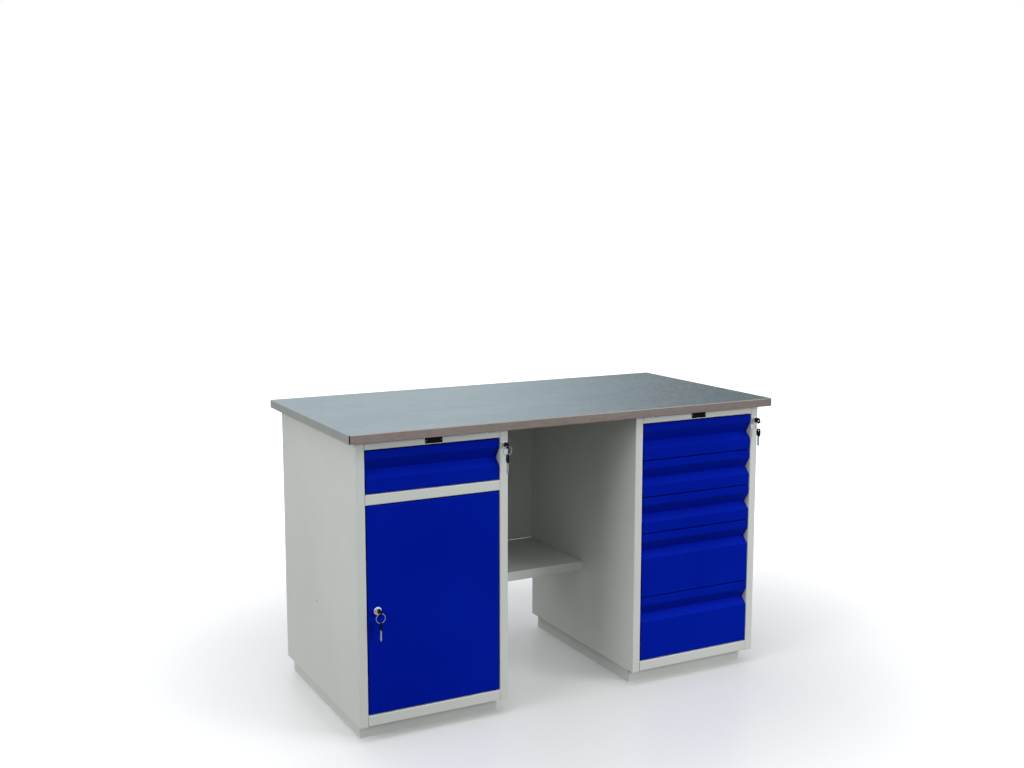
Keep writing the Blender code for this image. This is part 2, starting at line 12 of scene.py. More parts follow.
import bpy
import numpy as np
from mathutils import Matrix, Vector


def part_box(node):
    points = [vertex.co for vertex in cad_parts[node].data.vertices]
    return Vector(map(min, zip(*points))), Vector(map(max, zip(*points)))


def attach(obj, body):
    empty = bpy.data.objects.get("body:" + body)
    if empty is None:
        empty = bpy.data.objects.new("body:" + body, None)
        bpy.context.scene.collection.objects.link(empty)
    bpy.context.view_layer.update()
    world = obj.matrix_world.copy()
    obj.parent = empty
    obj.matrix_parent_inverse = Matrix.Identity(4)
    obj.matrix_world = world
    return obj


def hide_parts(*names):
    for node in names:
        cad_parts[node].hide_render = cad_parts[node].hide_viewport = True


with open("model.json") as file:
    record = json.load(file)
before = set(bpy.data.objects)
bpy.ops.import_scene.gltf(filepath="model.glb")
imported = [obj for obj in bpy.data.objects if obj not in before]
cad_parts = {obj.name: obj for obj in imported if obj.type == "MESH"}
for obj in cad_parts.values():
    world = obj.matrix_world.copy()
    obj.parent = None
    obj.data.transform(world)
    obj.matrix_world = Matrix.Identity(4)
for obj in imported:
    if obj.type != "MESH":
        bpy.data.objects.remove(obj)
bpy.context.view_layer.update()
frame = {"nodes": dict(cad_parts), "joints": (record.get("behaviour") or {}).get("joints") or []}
joint_at = {j["name"]: np.array(j.get("pos_m", (0, 0, 0)), float) for j in frame["joints"]}
scene = bpy.context.scene


def corners_of(node):
    """Lowest and highest corner of a CAD node, as two arrays."""
    low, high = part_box(node)
    return np.array(low), np.array(high)


# %% [markdown]
# ## Camera
# The desk is seen from its left front corner, from a little above the worktop. A longer lens
# would flatten the two pedestals against each other; 43 mm keeps the near corner lively.

# %% Camera
eye = bpy.data.cameras.new("studio_camera")
eye.lens, eye.sensor_width = 43.372, 36.0
eye.clip_end = 200.0
camera = bpy.data.objects.new("studio_camera", eye)
camera.location = (-1.79826, -3.34820, 1.45330)
camera.rotation_euler = (math.radians(90 - 8.037), 0, -math.radians(27.765))
scene.collection.objects.link(camera)
scene.camera = camera
scene.view_settings.view_transform = "Standard"
print("camera", tuple(camera.location), "lens", eye.lens)

# %% [markdown]
# ## Surfaces from arrays
# A mesh is an array of points and a list of faces. Every shape below is a grid of points, worked
# out all at once, so one function can make the faces of all of them. A grid can be wrapped round
# in either direction, like paper rolled into a tube.


# %% Grids and closed parts
def grid_faces(rows, cols, wrap_rows=False, wrap_cols=False):
    """Quads between neighbouring rows and columns of points numbered row by row."""
    r = np.arange(rows if wrap_rows else rows - 1)[:, None]
    c = np.arange(cols if wrap_cols else cols - 1)[None, :]
    r2, c2 = (r + 1) % rows, (c + 1) % cols
    return np.stack([r * cols + c, r2 * cols + c, r2 * cols + c2, r * cols + c2], -1).reshape(-1, 4)


def closed_part(points, quads, caps=()):
    """One closed body facing outwards.

    Its volume is the sum of the tetrahedra from the origin to every face, and a negative sum
    means that the faces look inwards, so they are all turned round.
    """
    points = np.asarray(points, float).reshape(-1, 3)
    fans = [quads[:, [0, 1, 2]], quads[:, [0, 2, 3]]]
    for cap in caps:
        rest = np.stack([cap[1:-1], cap[2:]], -1)
        fans.append(np.column_stack([np.full(len(rest), cap[0]), rest]))
    a, b, c = np.moveaxis(points[np.concatenate(fans)], 1, 0)
    volume = np.einsum("ij,ij->", a, np.cross(b, c)) / 6
    faces = quads.tolist() + [list(map(int, cap)) for cap in caps]
    return points, faces if volume > 0 else [face[::-1] for face in faces]


def capped(grid, wrap_rows=False):
    """A grid of rings (rows, ring points, 3), with a flat cap on the first and the last ring."""
    rows, cols = grid.shape[:2]
    ring = np.arange(cols)
    caps = () if wrap_rows else (ring, (rows - 1) * cols + ring[::-1])
    return closed_part(grid, grid_faces(rows, cols, wrap_rows, True), caps)


# %% [markdown]
# ## Finishes
# Powder coat is a thick skin of melted powder. Close up it is never quite flat: it has a fine
# orange peel, and its gloss changes a little from place to place. A plain colour would look like
# plastic, so each finish mixes two close tones with slow noise, varies the roughness, and adds
# the fine relief with a bump. All patterns read Object coordinates, in metres.

# %% A builder of finishes
FINISHES = {}
MAP_SOCKETS = ("From Min", "From Max", "To Min", "To Max")


def finish(name, tones, roughness, relief, metallic=0.0, drift=2.5, shine=0.5, stretch=(1, 1, 1)):
    """A material with slow colour drift, uneven gloss and a fine relief.

    tones are two colours that noise of the drift scale mixes; roughness is its lowest and
    highest value; relief is (noise scale, height in metres, share); stretch scales the pattern.
    """
    made = bpy.data.materials.new(name)
    made.use_nodes = True
    tree = made.node_tree
    shader = tree.nodes["Principled BSDF"]
    place = tree.nodes.new("ShaderNodeTexCoord")
    mapping = tree.nodes.new("ShaderNodeMapping")
    mapping.inputs["Scale"].default_value = stretch
    tree.links.new(place.outputs["Object"], mapping.inputs["Vector"])

    def noise(scale, detail):
        node = tree.nodes.new("ShaderNodeTexNoise")
        node.inputs["Scale"].default_value = scale
        node.inputs["Detail"].default_value = detail
        tree.links.new(mapping.outputs["Vector"], node.inputs["Vector"])
        return node.outputs["Fac"]

    ramp = tree.nodes.new("ShaderNodeValToRGB")
    for stop, at, tone in zip(ramp.color_ramp.elements, (0.35, 0.65), tones):
        stop.position, stop.color = at, (*tone, 1)
    tree.links.new(noise(drift, 4), ramp.inputs["Fac"])
    tree.links.new(ramp.outputs["Color"], shader.inputs["Base Color"])
    gloss = tree.nodes.new("ShaderNodeMapRange")
    for socket, value in zip(MAP_SOCKETS, (0.3, 0.7, *roughness)):
        gloss.inputs[socket].default_value = value
    tree.links.new(noise(drift * 12, 3), gloss.inputs["Value"])
    tree.links.new(gloss.outputs["Result"], shader.inputs["Roughness"])
    bump = tree.nodes.new("ShaderNodeBump")
    bump.inputs["Distance"].default_value = relief[1]
    bump.inputs["Strength"].default_value = relief[2]
    tree.links.new(noise(relief[0], 2), bump.inputs["Height"])
    tree.links.new(bump.outputs["Normal"], shader.inputs["Normal"])
    shader.inputs["Metallic"].default_value = metallic
    shader.inputs["Specular IOR Level"].default_value = shine
    FINISHES[name] = made


# %% Powder coats, plastic and board
PEEL = (700, 0.00012, 0.35)  # orange peel about 1.5 mm across
FLAT = (90, 0.0, 0.0)  # no relief
finish("grey_paint", ((0.565, 0.590, 0.565), (0.600, 0.625, 0.598)), (0.42, 0.52), PEEL, shine=0.25)
finish("blue_paint", ((0.0001, 0.0085, 0.290), (0.0003, 0.0110, 0.330)), (0.36, 0.48), PEEL,
       shine=0.03)
finish("black_plastic", ((0.003, 0.003, 0.0035), (0.006, 0.006, 0.007)), (0.35, 0.50),
       (2600, 0.00004, 0.5), drift=60, shine=0.12)
finish("board", ((0.12, 0.07, 0.035), (0.38, 0.26, 0.15)), (0.75, 0.90), (420, 0.0005, 0.7),
       drift=260, stretch=(1, 1.6, 1))
finish("white_floor", ((0.735, 0.735, 0.740), (0.740, 0.740, 0.744)), (0.300, 0.304),
       FLAT, drift=0.6)
print("paints", sorted(FINISHES))

# %% [markdown]
# Zinc freezes on a galvanised sheet in flat crystals, the spangle. Each crystal reflects a little
# differently, so Voronoi cells, which also meet at straight borders, each darken the tone by
# their own amount. The bright parts of the locks and runners are plated, so they only get fine
# drawing lines, which are noise stretched along one axis. The worktop's folded edges get a painted
# reflection: their tone is tinted warmer than the top's, most of all at the front. The board's cut
# ends get painted shade: they are darkened so that the open corner slots of the tray look dark.
# So a tone can also change near an edge.


# %% Metals
def spangle(name, scale, share):
    """Adds crystals to a finish: each Voronoi cell has one random value, which darkens its tone."""
    tree = FINISHES[name].node_tree
    shader, mapping = tree.nodes["Principled BSDF"], tree.nodes["Mapping"]
    ramp = tree.nodes["Color Ramp"]
    cells = tree.nodes.new("ShaderNodeTexVoronoi")
    cells.inputs["Scale"].default_value = scale
    tree.links.new(mapping.outputs["Vector"], cells.inputs["Vector"])
    split = tree.nodes.new("ShaderNodeSeparateColor")
    tree.links.new(cells.outputs["Color"], split.inputs["Color"])
    mix = tree.nodes.new("ShaderNodeMix")
    mix.data_type, mix.blend_type = "RGBA", "MULTIPLY"
    mix.inputs["Factor"].default_value = share
    tree.links.new(ramp.outputs["Color"], mix.inputs["A"])
    tree.links.new(split.outputs["Red"], mix.inputs["B"])
    tree.links.new(mix.outputs["Result"], shader.inputs["Base Color"])


def edge_tone(name, axis, edge, tone, depth=0.001):
    """Changes a finish near an edge: the share rises from 0 to 1 over the last depth before it."""
    tree = FINISHES[name].node_tree
    colour = tree.nodes["Principled BSDF"].inputs["Base Color"]
    place = tree.nodes.new("ShaderNodeSeparateXYZ")
    tree.links.new(tree.nodes["Texture Coordinate"].outputs["Object"], place.inputs["Vector"])
    share = tree.nodes.new("ShaderNodeMapRange")
    share.inputs["From Min"].default_value = edge - math.copysign(depth, edge)
    share.inputs["From Max"].default_value = edge
    tree.links.new(place.outputs[axis], share.inputs["Value"])
    mix = tree.nodes.new("ShaderNodeMix")
    mix.data_type, mix.blend_type = "RGBA", "MULTIPLY"
    mix.inputs["B"].default_value = (*tone, 1)
    tree.links.new(share.outputs["Result"], mix.inputs["Factor"])
    tree.links.new(colour.links[0].from_socket, mix.inputs["A"])
    tree.links.new(mix.outputs["Result"], colour)


finish("galvanised", ((0.52, 0.650, 0.69), (0.57, 0.705, 0.745)), (0.26, 0.36),
       (900, 0.00006, 0.25), metallic=1.0, drift=4, stretch=(1, 3, 3))
finish("zinc", ((0.50, 0.51, 0.53), (0.60, 0.61, 0.62)), (0.26, 0.38),
       (1500, 0.00005, 0.25), metallic=1.0, drift=25, stretch=(4, 1, 4))
finish("lock_chrome", ((0.90, 0.91, 0.93), (0.96, 0.97, 0.98)), (0.20, 0.32),
       (2200, 0.00002, 0.2), metallic=0.30, drift=80)
finish("key_steel", ((0.46, 0.48, 0.54), (0.56, 0.58, 0.64)), (0.20, 0.32),
       (2600, 0.00003, 0.3), metallic=0.55, drift=120, stretch=(1, 1, 5))
spangle("galvanised", 55, 0.07)
spangle("zinc", 140, 0.12)
FRONT_EDGE, SIDE_EDGE, BOARD_END = -0.3492, 0.6992, 0.699  # just inside the faces
# painted reflection: the front and side flanges are tinted warmer than the top, most at the front
edge_tone("galvanised", "Y", FRONT_EDGE, (1.34, 0.92, 0.80))
edge_tone("galvanised", "X", -SIDE_EDGE, (1.15, 0.98, 0.92))
edge_tone("galvanised", "X", SIDE_EDGE, (1.15, 0.98, 0.92))
# painted shade: the board's ends are darkened so the open corner slots of the tray look dark
for end in (-BOARD_END, BOARD_END):
    edge_tone("board", "X", end, (0.06, 0.05, 0.05), depth=0.0035)
print("all finishes", sorted(FINISHES))

# %% [markdown]
# ## Making a piece
# A piece can hold several closed parts, such as a door with its pins. Its flat faces must stay
# flat next to a bend, so the normals are weighted by face area. A stamped part, such as a lock's
# cam, can get a small Bevel, which takes its edge off and gives the light something to catch.
# Holes are punched with a Boolean, and the result is kept as the mesh.


# %% Pieces
def joined(parts):
    """Points and faces of several parts as one mesh."""
    starts = np.cumsum([0] + [len(points) for points, _ in parts])
    faces = [[i + start for i in face] for (_, fs), start in zip(parts, starts) for face in fs]
    return np.concatenate([points for points, _ in parts]), faces


def linked(name, parts):
    """One object in the scene, made of closed parts."""
    mesh = bpy.data.meshes.new(name)
    points, faces = joined(parts)
    mesh.from_pydata(points.tolist(), [], faces)
    obj = bpy.data.objects.new(name, mesh)
    scene.collection.objects.link(obj)
    return obj


def punched(obj, cutters):
    """Cuts closed parts out of a piece and keeps the cut mesh."""
    tool = linked(obj.name + "_punch", cutters)
    step = obj.modifiers.new("punch", "BOOLEAN")
    step.operation, step.solver, step.object = "DIFFERENCE", "EXACT", tool
    cut = bpy.data.meshes.new_from_object(obj.evaluated_get(bpy.context.evaluated_depsgraph_get()))
    obj.modifiers.clear()
    obj.data = cut
    bpy.data.objects.remove(tool, do_unlink=True)


def piece(name, parts, look, body, stands_for=(), edge=0.0, holes=(), turn=32):
    """One object from closed parts: it rides on a body and stands for CAD nodes."""
    obj = linked(name, parts)
    if holes:
        punched(obj, holes)
    obj.data.name = name
    obj.data.shade_smooth()
    obj.data.set_sharp_from_angle(angle=math.radians(turn))
    obj.data.materials.append(FINISHES[look])
    if edge:
        bevel = obj.modifiers.new("worn_edge", "BEVEL")
        bevel.width, bevel.segments = edge, 2
        bevel.limit_method, bevel.angle_limit = "ANGLE", math.radians(55)
        bevel.use_clamp_overlap = True
    even = obj.modifiers.new("flat_faces", "WEIGHTED_NORMAL")
    even.keep_sharp = True
    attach(obj, body)
    if stands_for:
        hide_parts(*stands_for)
    size = np.ptp(np.array([v.co for v in obj.data.vertices]), axis=0) * 1000
    print(name, len(obj.data.polygons), "faces, mm", *size.round())
    return obj


# %% [markdown]
# ## Folded sheet
# A press brake bends sheet round a punch, so each fold is an arc: the outside of the bend has the
# inside radius plus the metal's thickness. The line of the outer face is drawn with sharp corners
# first. Each corner is then replaced by an arc, and the inner face is the same line moved over by
# the thickness along its normals. A hem or a lip is only more corners.


# %% Bent lines
SHEET = 0.0015
THIN = 0.0012
BEND = 0.0012  # inside radius of a fold
GAP = 0.0003


def bent_line(corners, thick, bend=BEND, closed=False, steps=5):
    """Points and left-hand normals of a line whose corners are rounded.

    An arc's centre lies one radius to the side the line turns to, above the point where the arc
    starts, which is radius times the tangent of half the turn before the corner.
    """
    corners = np.array(corners, float)
    ahead = np.roll(corners, -1, 0) - corners
    heading = np.arctan2(ahead[:, 1], ahead[:, 0])
    points, normals = [], []
    count = len(corners)
    for i in range(count):
        if not closed and i in (0, count - 1):
            angles = np.array([heading[0 if i == 0 else count - 2]])
            points.append(corners[i : i + 1])
        else:
            before = heading[i - 1]
            turn = (heading[i] - before + math.pi) % math.tau - math.pi
            radius = bend + thick if turn > 0 else bend
            if abs(turn) < 1e-6:
                radius = 0.0
            angles = before + np.linspace(0, turn, steps + 1 if radius else 1)
            way = np.array([math.cos(before), math.sin(before)])
            side = np.array([-way[1], way[0]]) * math.copysign(radius, turn)
            centre = corners[i] - way * radius * abs(math.tan(turn / 2)) + side
            out = np.stack([np.sin(angles), -np.cos(angles)], -1) * math.copysign(radius, turn)
            points.append(centre + out)
        normals.append(np.stack([-np.sin(angles), np.cos(angles)], -1))
    return np.concatenate(points), np.concatenate(normals)


def folded(corners, span, thick, along, bend=BEND, closed=False):
    """A sheet bent along a line and swept straight, with the metal to the left of travel.

    along is the axis of the sweep, and the line is in the other two axes, in order. span is the
    sweep's two ends, or a function that gives them for each point of the line, so that an end
    can be notched or mitred. Each point of the line becomes a ring of four: the outer face at
    both ends, then the inner face at both ends.
    """
    outer, normals = bent_line(corners, thick, bend, closed)
    inner = outer + normals * thick
    low, high = span(outer) if callable(span) else [np.full(len(outer), end) for end in span]
    axes = {"x": [2, 0, 1], "y": [0, 2, 1], "z": [0, 1, 2]}[along]
    ring = [(outer, low), (outer, high), (inner, high), (inner, low)]
    grid = np.stack([np.column_stack([line, end])[:, axes] for line, end in ring], 1)
    return capped(grid, wrap_rows=closed)


def across_axes(axis):
    """The two axes that are left when a part points along one of them."""
    return [i for i in range(3) if i != axis]


# %% Round and flat parts
def turned(profile, at, axis=1, steps=40, closed=False, start=0.0):
    """A (radius, height) profile turned about an axis through a point: each profile point is
    carried round a circle. A negative height lies before the point, and a closed profile makes
    a ring."""
    profile = np.array(profile, float)
    angle = start + np.linspace(0, math.tau, steps, endpoint=False)
    a, b = across_axes(axis)
    grid = np.zeros((len(profile), steps, 3)) + np.array(at, float)
    grid[..., a] += profile[:, :1] * np.cos(angle)
    grid[..., b] += profile[:, :1] * np.sin(angle)
    grid[..., axis] += profile[:, 1:]
    return capped(grid, wrap_rows=closed)


def plate(outline, low, high, axis):
    """A flat outline given a thickness along an axis."""
    outline = np.array(outline, float)
    a, b = across_axes(axis)
    grid = np.zeros((2, len(outline), 3))
    grid[..., a], grid[..., b] = outline[:, 0], outline[:, 1]
    grid[:, :, axis] = [[low], [high]]
    return capped(grid)


def block(low, high):
    """A plate with a rectangular outline between two corners, lying in x and y."""
    (x0, y0, z0), (x1, y1, z1) = low, high
    return plate([(x0, y0), (x1, y0), (x1, y1), (x0, y1)], z0, z1, 2)


def pressed(section, half, centre, corner, axis, steps=6):
    """A pressed or wrapped shell: (inset, height) pairs carried round a rounded rectangle.

    half is the rectangle's half sizes, and the corner's radius shrinks with the inset. The first
    and last rings are closed flat.
    """
    section = np.array(section, float)
    inset = section[:, 0][:, None, None]
    radius = np.maximum(corner - inset, 0.0002)
    quarter = np.array([[1, 1], [-1, 1], [-1, -1], [1, -1]], float)[None, :, None, :]
    turns = np.linspace(0, math.pi / 2, steps + 1)
    angle = (np.arange(4)[:, None] * math.pi / 2 + turns)[None]
    arc = np.stack([np.cos(angle), np.sin(angle)], -1)
    middle = (np.array(half) - inset[..., None] - radius[..., None]) * quarter
    ring = (middle + radius[..., None] * arc).reshape(len(section), -1, 2)
    a, b = across_axes(axis)
    grid = np.zeros((len(section), ring.shape[1], 3)) + np.array(centre, float)
    grid[..., a] += ring[..., 0]
    grid[..., b] += ring[..., 1]
    grid[..., axis] += section[:, 1:]
    return capped(grid)


def rod(at, radius, length, axis, steps=32):
    """A plain rod about a point, used as a punch or a pin."""
    return turned([(radius, -length / 2), (radius, length / 2)], at, axis, steps)


def screw_head(at, radius, axis, out):
    """A low domed head with a socket: out is +1 or -1, the way it faces along the axis."""
    t = np.linspace(0, math.pi / 2, 5)
    dome = [(radius * (0.62 + 0.38 * math.cos(a)), radius * 0.5 * math.sin(a) + 0.0002) for a in t]
    profile = [(radius, 0.0), *dome, (radius * 0.45, radius * 0.5), (radius * 0.40, radius * 0.2)]
    return turned([(r, out * h) for r, h in profile], at, axis, 18)


# %% [markdown]
# ## The stage
# A white floor that runs to the horizon, a soft room light and four softboxes. Near the desk the
# lamps light the floor, so a soft shadow grounds the desk. Farther out the floor glows by itself,
# more with the distance, until it melts into the white background. The worktop is a dull mirror,
# so the floor and the lamps are hidden from mirrors, and it shows only the room's even light.
# The floor is only the setting.

# %% Floor
FLOOR_HALF, FLOOR_T = 60.0, 0.02
GLOW = (0.7, 2.8, 0.04, 0.9)  # from and to a distance in metres, then from and to a strength
floor = linked("studio_floor", [
    block((-FLOOR_HALF, -FLOOR_HALF, -FLOOR_T), (FLOOR_HALF, FLOOR_HALF, 0))])
floor.data.materials.append(FINISHES["white_floor"])

floor.visible_diffuse = False
floor.visible_glossy = False
floor_tree = FINISHES["white_floor"].node_tree
floor_shader = floor_tree.nodes["Principled BSDF"]
floor_shader.inputs["Emission Color"].default_value = (1, 1, 1, 1)
distance = floor_tree.nodes.new("ShaderNodeVectorMath")
distance.operation = "LENGTH"
floor_tree.links.new(floor_tree.nodes["Mapping"].outputs["Vector"], distance.inputs[0])
glow = floor_tree.nodes.new("ShaderNodeMapRange")
glow.interpolation_type = "SMOOTHSTEP"
for socket, value in zip(MAP_SOCKETS, GLOW):
    glow.inputs[socket].default_value = value
floor_tree.links.new(distance.outputs["Value"], glow.inputs["Value"])
floor_tree.links.new(glow.outputs["Result"], floor_shader.inputs["Emission Strength"])
print("floor", floor.name)

# %% World light
ROOM_ABOVE = (0.60, 0.62, 0.64)
ROOM_BELOW_FRONT = (0.18, 0.18, 0.18)
ROOM_BELOW_BACK = (0.40, 0.41, 0.39)
ROOM_BELOW_MIRRORED = (0.230, 0.222, 0.216)  # what mirrors see below, in front
ROOM_TOP = (0.80, 0.82, 0.84)  # straight up, for the light that spreads over paint
ROOM_DARK_WAY = (0.77, 0.64, 0.0)  # towards the far right


def studio_air():
    """World light: white to the lens, and for everything it lights a soft room that is bluish
    above, dark grey below in front and paler below behind, and dark towards the far right."""
    world = bpy.data.worlds.new("studio_air")
    world.use_nodes = True
    tree = world.node_tree
    place = tree.nodes.new("ShaderNodeTexCoord").outputs["Generated"]

    def along(way, low, high, start, end):
        """How far a direction points along a way, mapped smoothly from low..high to start..end."""
        aim = tree.nodes.new("ShaderNodeVectorMath")
        aim.operation = "DOT_PRODUCT"
        aim.inputs[1].default_value = way
        tree.links.new(place, aim.inputs[0])
        shade = tree.nodes.new("ShaderNodeMapRange")
        shade.interpolation_type = "SMOOTHSTEP"
        for socket, value in zip(MAP_SOCKETS, (low, high, start, end)):
            shade.inputs[socket].default_value = value
        tree.links.new(aim.outputs["Value"], shade.inputs["Value"])
        return shade.outputs["Result"]

    def blended(share, first, second):
        """A colour between two colours or two links."""
        mix = tree.nodes.new("ShaderNodeMix")
        mix.data_type = "RGBA"
        mix.clamp_factor = True
        tree.links.new(share, mix.inputs["Factor"])
        for socket, tone in (("A", first), ("B", second)):
            if isinstance(tone, tuple):
                mix.inputs[socket].default_value = (*tone, 1)
            else:
                tree.links.new(tone, mix.inputs[socket])
        return mix.outputs["Result"]

    rays = tree.nodes.new("ShaderNodeLightPath")
    front = blended(rays.outputs["Is Glossy Ray"], ROOM_BELOW_FRONT, ROOM_BELOW_MIRRORED)
    below = blended(along((0, 1, 0), -0.3, 0.3, 0, 1), front, ROOM_BELOW_BACK)
    room = tree.nodes["Background"]
    mirrored = blended(along((0, 0, 1), -0.08, 0.08, 0, 1), below, ROOM_ABOVE)
    spread = blended(along((0, 0, 1), 0.0, 0.85, 0, 1), below, ROOM_TOP)
    seen = blended(rays.outputs["Is Diffuse Ray"], mirrored, spread)
    tree.links.new(seen, room.inputs["Color"])
    tree.links.new(along(ROOM_DARK_WAY, 0.895, 0.97, 1.0, 0.05), room.inputs["Strength"])
    backdrop = tree.nodes.new("ShaderNodeBackground")
    backdrop.inputs["Color"].default_value = (1, 1, 1, 1)
    mix = tree.nodes.new("ShaderNodeMixShader")
    tree.links.new(rays.outputs["Is Camera Ray"], mix.inputs["Fac"])
    tree.links.new(room.outputs["Background"], mix.inputs[1])
    tree.links.new(backdrop.outputs["Background"], mix.inputs[2])
    tree.links.new(mix.outputs["Shader"], tree.nodes["World Output"].inputs["Surface"])
    scene.world = world


studio_air()


# %% Softboxes
def softbox(name, place, target, size, watts):
    """An area light at a place, turned towards a target: it shines along its own -z."""
    data = bpy.data.lights.new(name, "AREA")
    data.shape, data.size, data.size_y = "RECTANGLE", *size
    data.energy = watts
    light = bpy.data.objects.new(name, data)
    light.location = place
    light.rotation_euler = (Vector(target) - Vector(place)).to_track_quat("-Z", "Y").to_euler()
    light.visible_glossy = False
    scene.collection.objects.link(light)


softbox("overhead", (-0.6, -1.4, 3.6), (0, 0, 0.4), (3.6, 2.4), 38)
softbox("left_window", (-4.4, -1.0, 2.2), (0, 0, 0.5), (2.4, 2.4), 84)
softbox("front_fill", (3.0, -4.2, 1.8), (0.2, 0, 0.6), (2.2, 1.0), 132)
softbox("back_window", (-0.4, 3.6, 2.4), (0, 0, 0), (2.4, 1.4), 45)
print("lit by", scene.world.name, "and four softboxes")

# %% [markdown]
# ## Worktop
# The top is a chipboard panel wrapped in a galvanised tray. One sheet makes the top, front and
# back, each folded down and then under the board, and the side flanges are folded the same way.
# The four corners can't be folded, so the flanges stop short and leave a narrow dark slot there.
# The lips under the board are mitred, because they would otherwise lie on each other.

# %% Worktop
top_low, top_high = corners_of("worktop_sheet")
SKIN = 0.001
LIP = 0.020
RELIEF = 0.0034  # how far the flanges stop short of each corner
(x0, y0, z0), (x1, y1, z1) = top_low, top_high


def mitred(line, half, edge):
    """The sweep's ends: half, less how far a point under the board lies from its folded edge."""
    under = np.where(line[:, 1] < z0 + GAP, np.abs(np.abs(edge) - np.abs(line[:, 0])), 0)
    reach = half - RELIEF - under
    return -reach, reach


top_line = [(y1 - LIP, z0), (y1, z0), (y1, z1), (y0, z1), (y0, z0), (y0 + LIP, z0)]
tray = [folded(top_line, lambda line: mitred(line, x1, y1), SKIN, "x")]
for sign in (-1, 1):
    side_line = [(sign * (x1 - LIP), z0), (sign * x1, z0), (sign * x1, z1),
                 (sign * (x1 - RELIEF), z1)]
    if sign < 0:
        side_line = side_line[::-1]
    tray.append(folded(side_line, lambda line: mitred(line, y1, x1), SKIN, "y"))
piece("worktop_skin", tray, "galvanised", "desk", ["worktop_sheet"])

# %% [markdown]
# ## Pedestal casings
# One sheet wraps round each pedestal: it starts as the right jamb, turns into the stile, and goes
# round the side, the back and the other side to the left stile. Drawing that as one line keeps
# the real bends. The lock's hole and the small fixing holes are punched through.

# %% Casings
STILE = 0.026
JAMB = 0.024
LOCK_R = 0.0085
FIXING_R = 0.0032
SIDE_HOLES = ((0.301, 0.726), (0.300, 0.408), (0.263, 0.310), (0.025, 0.313))


def casing(side):
    """The sheet round a pedestal, with the lock's hole and the fixing holes of its outer side."""
    (x0, y0, z0), (x1, y1, z1) = corners_of(f"{side}_shell")
    line = [(x1 - STILE, y0 + JAMB), (x1 - STILE, y0), (x1, y0), (x1, y1),
            (x0, y1), (x0, y0), (x0 + STILE, y0), (x0 + STILE, y0 + JAMB)]
    lock = joint_at[f"{side}_lock_turn"]
    outer = x0 if side == "left" else x1
    holes = [rod(lock, LOCK_R, 4 * SHEET, 1)]
    holes += [rod((outer, y, z), FIXING_R, 4 * SHEET, 0, 20) for y, z in SIDE_HOLES]
    piece(f"{side}_casing", [folded(line, (z0, z1), SHEET, "z")], "grey_paint", "desk",
          [f"{side}_shell"], holes=holes)


for side in ("left", "right"):
    casing(side)

# %% [markdown]
# The casing is closed above and below by a pan, a panel whose front edge is folded down as the
# rail. The rail fits between the stiles while the panel fills the casing, so the pan is notched:
# its width is a function of how far back a point lies. The plinth is a ring of the same sheet,
# set back so that toes fit under the desk.


# %% Pans, rails and plinths
def pan_width(y_front, centre, rail_half, pan_half):
    """Ends of a pan's sweep: the rail's half width up to the jambs, then the pan's."""

    def ends(line):
        half = np.where(line[:, 0] < y_front + JAMB + 1.5 * GAP, rail_half, pan_half)
        return centre - half, centre + half

    return ends


def pan(node):
    """A panel with its front edge folded down as a rail; two close points mark where it widens."""
    (x0, y0, z0), (x1, y1, z1) = corners_of(node)
    step = [(y0 + JAMB + 2 * GAP, z1), (y0 + JAMB + GAP, z1)]
    line = [(y1, z1), *step, (y0, z1), (y0, z0), (y0 + JAMB, z0)]
    half = (x1 - x0) / 2
    ends = pan_width(y0, (x0 + x1) / 2, half + SHEET - STILE, half)
    piece(f"{node}_folded", [folded(line, ends, SHEET, "x")], "grey_paint", "desk", [node])


for side in ("left", "right"):
    pan(f"{side}_top_pan")
    pan(f"{side}_floor_pan")
    (x0, y0, z0), (x1, y1, z1) = corners_of(f"{side}_plinth")
    ring = [(x0, y0), (x1, y0), (x1, y1), (x0, y1)]
    piece(f"{side}_plinth_ring", [folded(ring, (z0, z1), SHEET, "z", closed=True)], "grey_paint",
          "desk", [f"{side}_plinth"])

(x0, y0, z0), (x1, y1, z1) = corners_of("left_mid_rail")
line = [(y1, z1), (y0, z1), (y0, z0), (y1, z0)]
piece("left_mid_rail_folded", [folded(line, (x0, x1), SHEET, "x")], "grey_paint", "desk",
      ["left_mid_rail"])

# %% [markdown]
# ## Kneehole and cupboard shelf
# Both shelves are plates with a front edge folded down and back under, which stiffens them and
# hides the raw edge. The kneehole's back panel is folded forward at its sides.

# %% Shelves and back panel
FLANGES = {"knee_shelf": (0.029, 0.015), "cupboard_shelf": (0.020, 0.015)}  # drop, lip
for node, (drop, lip) in FLANGES.items():
    (x0, y0, z0), (x1, y1, z1) = corners_of(node)
    line = [(y1, z1), (y0, z1), (y0, z1 - drop), (y0 + lip, z1 - drop)]
    piece(f"{node}_folded", [folded(line, (x0, x1), THIN, "x")], "grey_paint", "desk", [node])
(x0, y0, z0), (x1, y1, z1) = corners_of("knee_back_panel")
line = [(x1, y0), (x1, y1), (x0, y1), (x0, y0)]
piece("knee_back_folded", [folded(line, (z0, z1), THIN, "z")], "grey_paint", "desk",
      ["knee_back_panel"])

# %% [markdown]
# ## Drawer fronts
# Each front is one folded sheet: a flat lip, a V-shaped groove that fingers pull from, and the
# flat panel, with top and bottom folded back. The groove runs out at both ends, where a plate
# with the same outline closes the space behind.

# %% Drawer fronts
LIP_H, UPPER_H, LOWER_H, GROOVE = 0.023, 0.032, 0.021, 0.021
DRAWERS = ["left_drawer"] + [f"right_drawer_{i}" for i in range(1, 6)]


